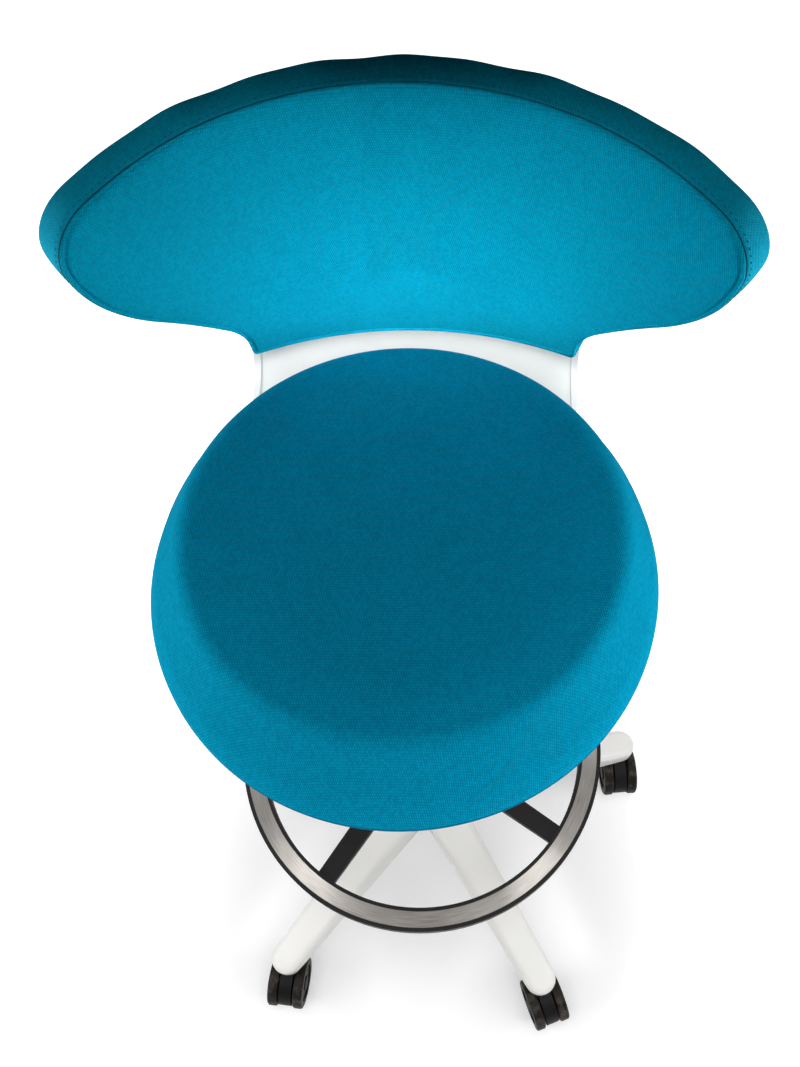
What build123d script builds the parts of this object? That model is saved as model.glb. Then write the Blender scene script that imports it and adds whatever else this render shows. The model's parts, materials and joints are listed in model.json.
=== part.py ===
from build123d import *
import math
import os

os.makedirs("parts", exist_ok=True)

# A high desk chair: five-star base on twin-wheel castors, gas column, foot ring,
# round padded seat and a wide winged backrest on a moulded shell.
# Millimetres. The origin is on the floor under the column, the sitter faces -Y.

# Fits and clearances
running_fit = 0.05
seated_fit = 0.02
surface_gap = 0.3

# Castors
castor_count = 5
wheel_diameter = 65.0
wheel_width = 13.0
wheel_gap = 20.5
wheel_round = 3.0
wheel_dish_outer = 23.0
wheel_dish_inner = 9.0
wheel_dish_depth = 2.0
castor_trail = 24.0
castor_web_width = 16.5
castor_web_radius = 30.5
castor_neck_radius = 11.0
castor_crown_height = 71.0
castor_crown_radius = 13.0
castor_crown_thickness = 5.0
axle_diameter = 8.0
axle_bite = 9.5
stem_diameter = 11.0
stem_in_crown = 16.0
stem_in_arm = 18.0
castor_turns = (-6.0, 21.0, 5.0, -14.0, 9.0)

# Five-star base
base_radius = 302.0
first_arm_turn = -39.3
arm_tip_width = 39.0
arm_root_width = 54.0
arm_tip_height = 22.0
arm_root_top = 160.0
arm_root_underside = 104.0
arm_arch = 8.0
arm_edge_round = 9.0
arm_wall = 5.0
swivel_gap = 1.0
socket_wall = 2.0
base_hub_radius = 41.0
base_hub_top = 168.0
base_hub_underside = 88.0
base_hub_round = 7.0

# Gas column
column_diameter = 50.0
column_wall = 2.5
column_top = 440.0
column_foot = 84.0
column_foot_plate = 6.0
column_taper = 1.4
column_foot_bore = 20.0
bush_length = 95.0
bush_flange = 5.0
pressure_tube_diameter = 28.0
pressure_tube_wall = 1.5
pressure_tube_low = 310.0
pressure_tube_rise = 19.0
pressure_tube_cone = 45.0
pressure_tube_taper = 1.0
valve_block_length = 35.0
gland_length = 20.0
rod_diameter = 10.0
rod_shoulder_radius = 8.0
rod_shoulder_height = 4.0
rod_tail = 6.0
rod_head_radius = 7.0
rod_head_height = 3.0
piston_low = 357.0
piston_length = 15.0
clip_radius = 9.0
clip_thickness = 2.0
race_radius = 17.0
race_thickness = 2.0
ball_count = 10
ball_diameter = 3.8
ball_circle_radius = 12.5
ball_clearance = 0.3
cage_thickness = 1.6
valve_pin_diameter = 6.0
valve_pin_rise = 6.0
valve_pin_depth = 17.0
valve_pin_travel = 4.0

# Foot ring
ring_top = 353.0
ring_outer_radius = 209.0
ring_width = 25.0
ring_height = 19.0
ring_round = 3.0
tread_outer_edge = 4.4
tread_inner_edge = 4.1
tread_thickness = 2.4
tread_proud = 0.4
spoke_count = 4
first_spoke_turn = -33.7
spoke_rim_width = 21.0
spoke_hub_width = 27.0
spoke_thickness = 13.0
spoke_drop = 4.0
spoke_round = 3.0
collar_radius = 36.0
collar_low = 316.0
collar_height = 48.0
collar_round = 3.0
collar_fit = 0.08
clamp_boss_radius = 13.0
clamp_boss_reach = 50.0
clamp_shoe_radius = 8.0
clamp_shoe_thickness = 4.5
stud_diameter = 10.0
knob_after_spoke = 2.5
knob_radius = 17.0
knob_lobe_radius = 6.0
knob_lobe_circle = 15.0
knob_lobe_count = 6
knob_thickness = 14.0
knob_gap = 6.0
knob_round = 2.5
ring_screw_diameter = 6.0
ring_screw_head_radius = 5.0
ring_screw_head_depth = 3.0
ring_screw_length = 34.0

# Seat
seat_rim_height = 788.0
seat_rim_radius = 203.0
seat_rim_y = 17.5
seat_side_height = 44.0
seat_side_run = 28.5
seat_crown = 7.0
seat_edge_round = 22.0
seat_rim_round = 3.0
pan_radius = 196.0
pan_thickness = 12.0
pan_edge_round = 6.0
piping_radius = 1.7
seat_screw_x = 52.0
seat_screw_front_y = -50.0
seat_screw_rear_y = 42.0
seat_screw_diameter = 6.0
seat_screw_head_radius = 5.0
seat_screw_head_height = 4.0
seat_screw_bite = 9.0

# Seat mechanism and height lever, which reaches out at the sitter's right, towards -X
housing_width = 126.0
housing_front_y = -62.0
housing_rear_y = 56.0
housing_height = 60.0
housing_wall = 5.0
housing_corner = 14.0
housing_shelf_width = 110.0
housing_shelf_rear_y = 114.0
pillar_radius = 8.0
socket_radius = 24.0
socket_drop = 28.0
socket_rise = 14.0
lever_pivot_x = -25.0
lever_pivot_rise = 32.0
lever_width = 12.0
lever_side_gap = 1.0
lever_nose_radius = 5.0
lever_boss_radius = 8.0
lever_bar_height = 7.0
lever_bend_x = -82.0
lever_end_x = -158.0
lever_end_drop = 11.0
lever_pin_diameter = 6.0
lever_ear_thickness = 5.0
lever_slot_below = 12.0
lever_slot_above = 20.0
paddle_length = 56.0
paddle_width = 34.0
paddle_thickness = 13.0
paddle_cover = 30.0
paddle_round = 5.0

# Backrest: surfaces turn about a vertical axis in front of the sitter's back
back_face_y = 259.0
back_face_radius = 360.0
back_lean = 4.0
back_sweep = 104.0
pad_above_rim = 3.0
pad_height = 248.5
pad_thickness = 30.0
pad_crown = 6.0
pad_front_round = 6.0
pad_rear_round = 4.0
board_thickness = 4.0
board_inset = 16.0
shell_thickness = 7.0
shell_inset = 7.0
shell_neck_half_width = 149.0
shell_neck_taper = 12.0
hinge_rise = 26.0
shell_bend_radius = 46.0
shell_plate_corner_y = 214.0
shell_arm_half_width = 37.5
shell_arm_start_y = 120.0
shell_lip_depth = 9.0
shell_lip_thickness = 6.0
shell_lip_drop = 5.0
pad_screw_turn = 17.0
pad_screw_rise = 59.0
pad_screw_spacing = 115.0
pad_screw_diameter = 5.0
pad_screw_head_radius = 5.0
pad_screw_head_height = 2.5
pad_screw_sink = 0.6
pad_screw_length = 7.0
trim_margin = 12.0
hinge_y = 70.0
hinge_eye_radius = 11.0
hinge_pin_diameter = 10.0
hinge_bush_wall = 2.0
hinge_bush_length = 16.0
cheek_thickness = 7.0
cheek_gap = 0.5
cheek_radius = 12.0
buffer_y = 98.0
buffer_radius = 9.0

# Backrest outline from the front: a chain of tangent arcs from the top centre round a wing to the neck
wing_top_radius = 760.0
wing_top_turn = 17.5
wing_tip_radius = 36.0
wing_tip_turn = 80.5
wing_under_radius = 143.0
wing_under_turn = 41.0
wing_under_run = 58.0
neck_curl_radius = 52.0
neck_corner_radius = 8.0

# Places worked out from the sizes above
wheel_radius = wheel_diameter / 2
axle_radius = axle_diameter / 2
stem_radius = stem_diameter / 2
stem_circle = base_radius - arm_tip_width / 2
arm_underside = castor_crown_height + swivel_gap
arm_tip_top = arm_underside + arm_tip_height
socket_top_height = castor_crown_height + stem_in_arm
column_radius = column_diameter / 2
column_bore = column_radius - column_wall
tube_radius = pressure_tube_diameter / 2
tube_bore = tube_radius - pressure_tube_wall
rod_radius = rod_diameter / 2
foot_plate_top = column_foot + column_foot_plate
upper_race_low = foot_plate_top + race_thickness + ball_diameter + ball_clearance
rod_shoulder_low = upper_race_low + race_thickness
ring_inner_radius = ring_outer_radius - ring_width
tread_outer_radius = ring_outer_radius - tread_outer_edge
tread_inner_radius = ring_inner_radius + tread_inner_edge
spoke_top = ring_top - spoke_drop
collar_middle = collar_low + collar_height / 2
collar_bore = column_radius + collar_fit
stud_radius = stud_diameter / 2
stud_tip = column_radius + surface_gap + clamp_shoe_thickness
knob_seat = clamp_boss_reach + knob_gap
pan_low = seat_rim_height - pan_thickness
housing_floor = pan_low - housing_height
socket_low = housing_floor - socket_drop
socket_top = housing_floor + socket_rise
pressure_tube_top = housing_floor + pressure_tube_rise
seat_slope = seat_side_run / seat_side_height
seat_top_height = seat_rim_height + seat_side_height
seat_top_radius = seat_rim_radius - seat_side_run
seat_top_y = seat_rim_y + seat_side_run
valve_pin_radius = valve_pin_diameter / 2
valve_pin_top = pressure_tube_top + valve_pin_rise
lever_pivot_z = housing_floor + lever_pivot_rise
lever_end_z = lever_pivot_z - lever_end_drop
lever_slot_low = lever_pivot_z - lever_slot_below
lever_slot_high = lever_pivot_z + lever_slot_above
lever_nose_z = valve_pin_top + surface_gap + lever_nose_radius
lever_ear_y = lever_width / 2 + lever_side_gap
back_axis_y = back_face_y - back_face_radius
back_rise = math.tan(math.radians(back_lean))
pad_low = seat_rim_height + pad_above_rim
pad_top = pad_low + pad_height
pad_screw_low = pad_low + pad_screw_rise
pad_screw_high = pad_screw_low + pad_screw_spacing
shell_lip_top = pad_low - shell_lip_drop
pad_rear_radius = back_face_radius + pad_thickness
shell_front_radius = pad_rear_radius + surface_gap
shell_middle_radius = shell_front_radius + shell_thickness / 2
hinge_pin_radius = hinge_pin_diameter / 2
hinge_bush_radius = hinge_pin_radius + hinge_bush_wall
hinge_z = housing_floor + hinge_rise
cheek_inner_x = shell_arm_half_width + cheek_gap
cheek_outer_x = cheek_inner_x + cheek_thickness
buffer_top = hinge_z - shell_thickness / 2 - surface_gap


def save(builder, node):
    """Label a finished piece and write it under its node's name."""
    builder.part.label = node
    export_step(builder.part, f"parts/{node}.step")


def turned(radius, turn):
    """The plan position at a radius, turned from the sitter's front towards +X."""
    angle = math.radians(turn)
    return (radius * math.sin(angle), -radius * math.cos(angle))


def radial_plane(turn, height):
    """A plane that faces outward from the column in the given direction."""
    outward = turned(1, turn)
    return Plane(origin=(0, 0, height), x_dir=(-outward[1], outward[0], 0), z_dir=(*outward, 0))


def ring(outer, inner, low, height):
    """A plain ring about the column axis."""
    with BuildPart() as piece:
        with BuildSketch(Plane.XY.offset(low)):
            Circle(outer)
            Circle(inner, mode=Mode.SUBTRACT)
        extrude(amount=height)
    return piece


# Five-star base

def arm_block(side_inset, roof_drop, start, end):
    """One arm along +X, or the hollow under it when it is inset and lowered."""
    root_top = arm_root_top - roof_drop
    tip_top = arm_tip_top - roof_drop
    middle_top = (root_top + tip_top) / 2 + arm_arch
    with BuildPart() as block:
        with BuildSketch(Plane.XZ):
            with BuildLine():
                ThreePointArc((0, root_top), (base_radius / 2, middle_top), (base_radius, tip_top))
                Polyline(
                    (base_radius, tip_top),
                    (base_radius, arm_underside),
                    (stem_circle - arm_tip_width / 2, arm_underside),
                    (0, arm_root_underside),
                    (0, root_top),
                )
            make_face()
        extrude(amount=arm_root_width, both=True)
        with BuildSketch(Plane.XY):
            with BuildLine():
                Polyline(
                    (start, arm_root_width / 2 - side_inset),
                    (end, arm_tip_width / 2 - side_inset),
                    (end, side_inset - arm_tip_width / 2),
                    (start, side_inset - arm_root_width / 2),
                    close=True,
                )
            make_face()
            if side_inset == 0:
                with Locations((end, 0)):
                    Circle(arm_tip_width / 2)
        extrude(amount=base_hub_top, mode=Mode.INTERSECT)
    return block


arm = arm_block(0, 0, 0, stem_circle)
with BuildPart() as rounded_arm:
    add(arm.part)
    roof = rounded_arm.faces().sort_by(Axis.Z)[-1]
    fillet([edge for edge in roof.edges() if edge.center().X > arm_wall], arm_edge_round)

hollow_skin = arm_wall + arm_edge_round / 2
hollow_start = base_hub_radius + arm_wall
hollow_end = stem_circle - arm_tip_width / 2 - arm_wall
hollow = arm_block(hollow_skin, hollow_skin, hollow_start, hollow_end)

with BuildPart() as star_base:
    with BuildSketch(Plane.XY.offset(base_hub_underside)):
        Circle(base_hub_radius)
    extrude(amount=base_hub_top - base_hub_underside)
    fillet(star_base.edges().filter_by(GeomType.CIRCLE).sort_by(Axis.Z)[-1], base_hub_round)
    with PolarLocations(0, castor_count, start_angle=first_arm_turn - 90):
        add(rounded_arm.part)
    with PolarLocations(0, castor_count, start_angle=first_arm_turn - 90):
        add(hollow.part, mode=Mode.SUBTRACT)
    with BuildSketch(Plane.XZ):
        narrowing = (base_hub_top - base_hub_underside) * math.tan(math.radians(column_taper))
        with BuildLine():
            Polyline(
                (0, base_hub_underside),
                (column_radius - narrowing + seated_fit, base_hub_underside),
                (column_radius + seated_fit, base_hub_top),
                (0, base_hub_top),
                close=True,
            )
        make_face()
    revolve(axis=Axis.Z, mode=Mode.SUBTRACT)
    with BuildSketch(Plane.XY.offset(arm_underside)):
        with PolarLocations(stem_circle, castor_count, start_angle=first_arm_turn - 90):
            Circle(stem_radius + running_fit + socket_wall + seated_fit)
    extrude(amount=socket_top_height - arm_underside + running_fit, mode=Mode.SUBTRACT)
save(star_base, "star_base")

with BuildPart() as castor_sockets:
    with BuildSketch(Plane.XY.offset(arm_underside)):
        with PolarLocations(stem_circle, castor_count, start_angle=first_arm_turn - 90):
            Circle(stem_radius + running_fit + socket_wall)
            Circle(stem_radius + running_fit, mode=Mode.SUBTRACT)
    extrude(amount=socket_top_height - arm_underside)
save(castor_sockets, "castor_sockets")

# Castors: x runs back along the trail, y along the axle, the origin under the stem

with BuildPart() as wheel_shape:
    with BuildSketch():
        Circle(wheel_radius)
    extrude(amount=wheel_width)
    fillet(wheel_shape.edges(), wheel_round)
    with BuildSketch(Plane.XY.offset(wheel_width)):
        Circle(wheel_dish_outer)
        Circle(wheel_dish_inner, mode=Mode.SUBTRACT)
    extrude(amount=-wheel_dish_depth, mode=Mode.SUBTRACT)
    with BuildSketch():
        Circle(axle_radius + running_fit)
    extrude(amount=axle_bite + running_fit, mode=Mode.SUBTRACT)

crown_underside = castor_crown_height - castor_crown_thickness
with BuildPart() as castor_body_shape:
    with BuildSketch(Plane.XZ):
        with Locations((castor_trail, wheel_radius)):
            Circle(castor_web_radius)
        with Locations((0, crown_underside - castor_neck_radius)):
            Circle(castor_neck_radius)
        make_hull()
    extrude(amount=castor_web_width / 2, both=True)
    with BuildSketch(Plane.XY.offset(crown_underside)):
        Circle(castor_crown_radius)
    extrude(amount=castor_crown_thickness)
    with BuildSketch(Plane.XY.offset(crown_underside - castor_neck_radius)):
        Circle(castor_web_width / 2)
    extrude(amount=castor_neck_radius)
    with BuildSketch(Plane.XZ):
        with Locations((castor_trail, wheel_radius)):
            Circle(axle_radius + seated_fit)
    extrude(amount=castor_web_width, both=True, mode=Mode.SUBTRACT)
    with BuildSketch(Plane.XY.offset(castor_crown_height - stem_in_crown)):
        Circle(stem_radius + seated_fit)
    extrude(amount=stem_in_crown, mode=Mode.SUBTRACT)

with BuildPart() as castor_stem_shape:
    with BuildSketch(Plane.XY.offset(castor_crown_height - stem_in_crown)):
        Circle(stem_radius)
    extrude(amount=stem_in_crown + stem_in_arm)

with BuildPart() as castor_axle_shape:
    with BuildSketch(Plane.XZ):
        with Locations((castor_trail, wheel_radius)):
            Circle(axle_radius)
    extrude(amount=wheel_gap / 2 + axle_bite, both=True)

left_wheel_plane = Plane(origin=(castor_trail, wheel_gap / 2, wheel_radius), x_dir=(1, 0, 0), z_dir=(0, 1, 0))
right_wheel_plane = Plane(origin=(castor_trail, -wheel_gap / 2, wheel_radius), x_dir=(1, 0, 0), z_dir=(0, -1, 0))

for number, castor_turn in enumerate(castor_turns):
    arm_turn = first_arm_turn + number * 360 / castor_count
    castor_plane = Plane(
        origin=(*turned(stem_circle, arm_turn), 0),
        x_dir=(*turned(1, castor_turn), 0),
        z_dir=(0, 0, 1),
    )
    castor = f"castor_{number + 1}"
    pieces = (
        (castor_body_shape, Plane.XY, "body"),
        (castor_stem_shape, Plane.XY, "stem"),
        (castor_axle_shape, Plane.XY, "axle"),
        (wheel_shape, left_wheel_plane, "left_wheel"),
        (wheel_shape, right_wheel_plane, "right_wheel"),
    )
    for shape, plane, piece_name in pieces:
        with BuildPart() as placed:
            with Locations(castor_plane.location * plane.location):
                add(shape.part)
        save(placed, f"{castor}_{piece_name}")

# Gas column

with BuildPart() as column_tube:
    with BuildSketch(Plane.XZ):
        narrowing = (base_hub_top - column_foot) * math.tan(math.radians(column_taper))
        with BuildLine():
            Polyline(
                (rod_radius + running_fit, column_foot),
                (column_radius - narrowing, column_foot),
                (column_radius, base_hub_top),
                (column_radius, column_top),
                (column_bore, column_top),
                (column_bore, base_hub_top),
                (column_foot_bore, base_hub_top),
                (column_foot_bore, foot_plate_top),
                (rod_radius + running_fit, foot_plate_top),
                close=True,
            )
        make_face()
    revolve(axis=Axis.Z)
save(column_tube, "column_tube")

with BuildPart() as guide_bush:
    with BuildSketch(Plane.XY.offset(column_top - bush_length)):
        Circle(column_bore - seated_fit)
    extrude(amount=bush_length)
    with BuildSketch(Plane.XY.offset(column_top)):
        Circle(column_radius)
    extrude(amount=bush_flange)
    fillet(guide_bush.edges().filter_by(GeomType.CIRCLE).sort_by(Axis.Z)[-1], bush_flange / 2)
    with BuildSketch(Plane.XY.offset(column_top - bush_length)):
        Circle(tube_radius + running_fit)
    extrude(amount=bush_length + bush_flange, mode=Mode.SUBTRACT)
save(guide_bush, "guide_bush")

lower_race = ring(race_radius, rod_radius + running_fit, foot_plate_top, race_thickness)
save(lower_race, "bearing_lower_race")
upper_race = ring(race_radius, rod_radius + seated_fit, upper_race_low, race_thickness)
save(upper_race, "bearing_upper_race")

ball_centre = foot_plate_top + race_thickness + ball_diameter / 2
with BuildPart() as bearing_balls:
    with Locations((0, 0, ball_centre)):
        with PolarLocations(ball_circle_radius, ball_count):
            Sphere(ball_diameter / 2)
save(bearing_balls, "bearing_balls")

with BuildPart() as bearing_cage:
    with BuildSketch(Plane.XY.offset(ball_centre - cage_thickness / 2)):
        Circle(race_radius)
        Circle(rod_radius + running_fit, mode=Mode.SUBTRACT)
        with PolarLocations(ball_circle_radius, ball_count):
            Circle(ball_diameter / 2 + running_fit, mode=Mode.SUBTRACT)
    extrude(amount=cage_thickness)
save(bearing_cage, "bearing_cage")

piston_top = piston_low + piston_length
with BuildPart() as piston_rod:
    with BuildSketch(Plane.XY.offset(column_foot - rod_tail)):
        Circle(rod_radius)
    extrude(amount=piston_top - column_foot + rod_tail)
    with BuildSketch(Plane.XY.offset(rod_shoulder_low)):
        Circle(rod_shoulder_radius)
    extrude(amount=rod_shoulder_height)
    with BuildSketch(Plane.XY.offset(piston_top)):
        Circle(rod_head_radius)
    extrude(amount=rod_head_height)
save(piston_rod, "piston_rod")

piston = ring(tube_bore - running_fit, rod_radius + seated_fit, piston_low, piston_length)
save(piston, "piston")

clip_low = column_foot - surface_gap - clip_thickness
rod_clip = ring(clip_radius, rod_radius + seated_fit, clip_low, clip_thickness)
save(rod_clip, "rod_clip")

tube_cone_low = pressure_tube_top - pressure_tube_cone
tube_tip_radius = tube_radius - pressure_tube_cone * math.tan(math.radians(pressure_tube_taper))
with BuildPart() as pressure_tube:
    with BuildSketch(Plane.XZ):
        with BuildLine():
            Polyline(
                (tube_bore, pressure_tube_low),
                (tube_radius, pressure_tube_low),
                (tube_radius, tube_cone_low),
                (tube_tip_radius, pressure_tube_top),
                (0, pressure_tube_top),
                (0, pressure_tube_top - valve_block_length),
                (tube_bore, pressure_tube_top - valve_block_length),
                close=True,
            )
        make_face()
    revolve(axis=Axis.Z)
    with BuildSketch(Plane.XY.offset(pressure_tube_top)):
        Circle(valve_pin_radius + running_fit)
    extrude(amount=-(valve_pin_depth + valve_pin_travel + swivel_gap), mode=Mode.SUBTRACT)
save(pressure_tube, "pressure_tube")

tube_gland = ring(tube_bore - seated_fit, rod_radius + running_fit, pressure_tube_low, gland_length)
save(tube_gland, "tube_gland")

with BuildPart() as release_pin:
    with BuildSketch(Plane.XY.offset(pressure_tube_top - valve_pin_depth)):
        Circle(valve_pin_radius)
    extrude(amount=valve_pin_depth + valve_pin_rise)
save(release_pin, "release_pin")

# Foot ring

spoke_step = 360 / spoke_count
spoke_planes = []
for spoke in range(spoke_count):
    spoke_planes.append(radial_plane(first_spoke_turn + spoke * spoke_step, spoke_top - spoke_thickness / 2))

with BuildPart() as footring_rim:
    with BuildSketch(Plane.XY.offset(ring_top - ring_height)):
        Circle(ring_outer_radius)
        Circle(ring_inner_radius, mode=Mode.SUBTRACT)
    extrude(amount=ring_height)
    fillet(footring_rim.edges().group_by(Axis.Z)[0], ring_round)
    with BuildSketch(Plane.XY.offset(ring_top)):
        Circle(tread_outer_radius + seated_fit)
        Circle(tread_inner_radius - seated_fit, mode=Mode.SUBTRACT)
    extrude(amount=tread_proud - tread_thickness, mode=Mode.SUBTRACT)
    for spoke_plane in spoke_planes:
        with BuildSketch(spoke_plane.offset(ring_inner_radius - ring_round)):
            Circle(ring_screw_diameter / 2 + seated_fit)
        extrude(amount=ring_outer_radius - ring_inner_radius + ring_round, mode=Mode.SUBTRACT)
        with BuildSketch(spoke_plane.offset(ring_outer_radius - ring_screw_head_depth)):
            Circle(ring_screw_head_radius + seated_fit)
        extrude(amount=2 * ring_screw_head_depth, mode=Mode.SUBTRACT)
save(footring_rim, "footring_rim")

footring_tread = ring(
    tread_outer_radius, tread_inner_radius, ring_top + tread_proud - tread_thickness, tread_thickness
)
save(footring_tread, "footring_tread")

screw_tip = ring_outer_radius - ring_screw_length
knob_plane = radial_plane(first_spoke_turn + knob_after_spoke * spoke_step, collar_middle)
with BuildPart() as footring_spider:
    with BuildSketch(Plane.XY.offset(spoke_top - spoke_thickness)):
        with PolarLocations(0, spoke_count, start_angle=first_spoke_turn - 90):
            Polygon(
                (0, -spoke_hub_width / 2),
                (ring_outer_radius, -spoke_rim_width / 2),
                (ring_outer_radius, spoke_rim_width / 2),
                (0, spoke_hub_width / 2),
                align=None,
            )
        Circle(ring_inner_radius - seated_fit, mode=Mode.INTERSECT)
    extrude(amount=spoke_thickness)
    long_edges = footring_spider.edges().filter_by(GeomType.LINE).filter_by(Axis.Z, reverse=True)
    fillet(long_edges, spoke_round)
    with BuildSketch(Plane.XY.offset(collar_low)):
        Circle(collar_radius)
    extrude(amount=collar_height)
    collar_ends = footring_spider.edges().filter_by(GeomType.CIRCLE).group_by(Axis.Z)
    fillet(collar_ends[0] + collar_ends[-1], collar_round)
    with BuildSketch(knob_plane.offset(column_radius)):
        Circle(clamp_boss_radius)
    extrude(amount=clamp_boss_reach - column_radius)
    with BuildSketch(Plane.XY.offset(collar_low)):
        Circle(collar_bore)
    extrude(amount=collar_height, mode=Mode.SUBTRACT)
    with BuildSketch(knob_plane):
        Circle(clamp_shoe_radius + running_fit)
    extrude(amount=stud_tip + surface_gap, mode=Mode.SUBTRACT)
    with BuildSketch(knob_plane):
        Circle(stud_radius + running_fit)
    extrude(amount=clamp_boss_reach, mode=Mode.SUBTRACT)
    for spoke_plane in spoke_planes:
        with BuildSketch(spoke_plane.offset(screw_tip)):
            Circle(ring_screw_diameter / 2 + seated_fit)
        extrude(amount=ring_screw_length, mode=Mode.SUBTRACT)
save(footring_spider, "footring_spider")

with BuildPart() as footring_screws:
    for spoke_plane in spoke_planes:
        with BuildSketch(spoke_plane.offset(screw_tip)):
            Circle(ring_screw_diameter / 2)
        extrude(amount=ring_screw_length - ring_screw_head_depth / 2)
        with BuildSketch(spoke_plane.offset(ring_outer_radius - ring_screw_head_depth)):
            Circle(ring_screw_head_radius)
        extrude(amount=ring_screw_head_depth / 2)
save(footring_screws, "footring_screws")

with BuildPart() as clamp_shoe:
    with BuildSketch(knob_plane.offset(column_radius + surface_gap)):
        Circle(clamp_shoe_radius)
    extrude(amount=clamp_shoe_thickness)
save(clamp_shoe, "clamp_shoe")

with BuildPart() as clamp_knob:
    with BuildSketch(knob_plane.offset(knob_seat)):
        Circle(knob_radius)
        with PolarLocations(knob_lobe_circle, knob_lobe_count):
            Circle(knob_lobe_radius)
    extrude(amount=knob_thickness)
    fillet(clamp_knob.faces().sort_by_distance(knob_plane.origin)[-1].edges(), knob_round)
    with BuildSketch(knob_plane.offset(stud_tip)):
        Circle(stud_radius)
    extrude(amount=knob_seat - stud_tip)
save(clamp_knob, "clamp_knob")

# Seat mechanism

housing_top = pan_low
seat_screw_places = (
    (seat_screw_x, seat_screw_front_y),
    (-seat_screw_x, seat_screw_front_y),
    (seat_screw_x, seat_screw_rear_y),
    (-seat_screw_x, seat_screw_rear_y),
)
housing_length = housing_rear_y - housing_front_y
housing_middle_y = (housing_rear_y + housing_front_y) / 2
with BuildPart() as mechanism_housing:
    with BuildSketch(Plane.XY.offset(housing_floor)):
        with Locations((0, housing_middle_y)):
            RectangleRounded(housing_width, housing_length, housing_corner)
    extrude(amount=housing_top - housing_floor)
    with BuildSketch(Plane.XY.offset(housing_floor + housing_wall)):
        with Locations((0, housing_middle_y)):
            RectangleRounded(
                housing_width - 2 * housing_wall,
                housing_length - 2 * housing_wall,
                housing_corner - housing_wall,
            )
    extrude(amount=housing_top - housing_floor, mode=Mode.SUBTRACT)
    with BuildSketch(Plane.XY.offset(housing_floor)):
        with Locations(*seat_screw_places):
            Circle(pillar_radius)
    extrude(amount=housing_top - housing_floor)
    with BuildSketch(Plane.XY.offset(housing_floor)):
        shelf_length = housing_shelf_rear_y - housing_middle_y
        with Locations((0, housing_middle_y + shelf_length / 2)):
            Rectangle(housing_shelf_width, shelf_length)
    extrude(amount=housing_wall)
    for side in (1, -1):
        with BuildSketch(Plane.YZ.offset(side * cheek_inner_x)):
            with Locations((hinge_y, hinge_z)):
                Circle(cheek_radius)
            with Locations((hinge_y, (housing_floor + hinge_z) / 2)):
                Rectangle(2 * cheek_radius, hinge_z - housing_floor)
        extrude(amount=side * cheek_thickness)
    with BuildSketch(Plane.XY.offset(socket_low)):
        Circle(socket_radius)
    extrude(amount=socket_top - socket_low)
    for side in (1, -1):
        ear_start = side * lever_ear_y
        with BuildSketch(Plane.XZ.offset(-ear_start)):
            with Locations((lever_pivot_x, lever_pivot_z)):
                Circle(lever_boss_radius)
            with Locations((lever_pivot_x, (housing_floor + lever_pivot_z) / 2)):
                Rectangle(2 * lever_boss_radius, lever_pivot_z - housing_floor)
        extrude(amount=-side * lever_ear_thickness)
    with BuildSketch(Plane.XZ):
        with BuildLine():
            Polyline(
                (0, socket_low),
                (tube_radius + seated_fit, socket_low),
                (tube_radius + seated_fit, tube_cone_low),
                (tube_tip_radius + seated_fit, pressure_tube_top),
                (0, pressure_tube_top),
                close=True,
            )
        make_face()
    revolve(axis=Axis.Z, mode=Mode.SUBTRACT)
    with BuildSketch(Plane.XY.offset(housing_floor)):
        with Locations(*seat_screw_places):
            Circle(seat_screw_diameter / 2 + running_fit)
    extrude(amount=housing_top - housing_floor, mode=Mode.SUBTRACT)
    with BuildSketch(Plane.XZ):
        with Locations((lever_pivot_x, lever_pivot_z)):
            Circle(lever_pin_diameter / 2 + seated_fit)
    extrude(amount=lever_ear_y + lever_ear_thickness, both=True, mode=Mode.SUBTRACT)
    with BuildSketch(Plane.YZ.offset(-housing_width / 2 - housing_wall)):
        with Locations((0, (lever_slot_low + lever_slot_high) / 2)):
            Rectangle(2 * lever_ear_y, lever_slot_high - lever_slot_low)
    extrude(amount=3 * housing_wall, mode=Mode.SUBTRACT)
    with BuildSketch(Plane.YZ):
        with Locations((hinge_y, hinge_z)):
            Circle(hinge_pin_radius + seated_fit)
    extrude(amount=cheek_outer_x, both=True, mode=Mode.SUBTRACT)
save(mechanism_housing, "mechanism_housing")

with BuildPart() as lever_pin:
    with BuildSketch(Plane.XZ):
        with Locations((lever_pivot_x, lever_pivot_z)):
            Circle(lever_pin_diameter / 2)
    extrude(amount=lever_ear_y + lever_ear_thickness, both=True)
save(lever_pin, "lever_pin")

half_bar = lever_bar_height / 2
with BuildPart() as height_lever:
    with BuildSketch(Plane.XZ):
        with Locations((0, lever_nose_z)):
            Circle(lever_nose_radius)
        with Locations((lever_pivot_x, lever_pivot_z)):
            Circle(lever_boss_radius)
        make_hull()
    extrude(amount=lever_width / 2, both=True)
    with BuildSketch(Plane.XZ):
        with BuildLine():
            Polyline(
                (lever_pivot_x, lever_pivot_z - half_bar),
                (lever_bend_x, lever_pivot_z - half_bar),
                (lever_end_x, lever_end_z - half_bar),
                (lever_end_x, lever_end_z + half_bar),
                (lever_bend_x, lever_pivot_z + half_bar),
                (lever_pivot_x, lever_pivot_z + half_bar),
                close=True,
            )
        make_face()
    extrude(amount=lever_width / 2, both=True)
    with BuildSketch(Plane.XZ):
        with Locations((lever_pivot_x, lever_pivot_z)):
            Circle(lever_pin_diameter / 2 + running_fit)
    extrude(amount=lever_width, both=True, mode=Mode.SUBTRACT)
save(height_lever, "height_lever")

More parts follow.
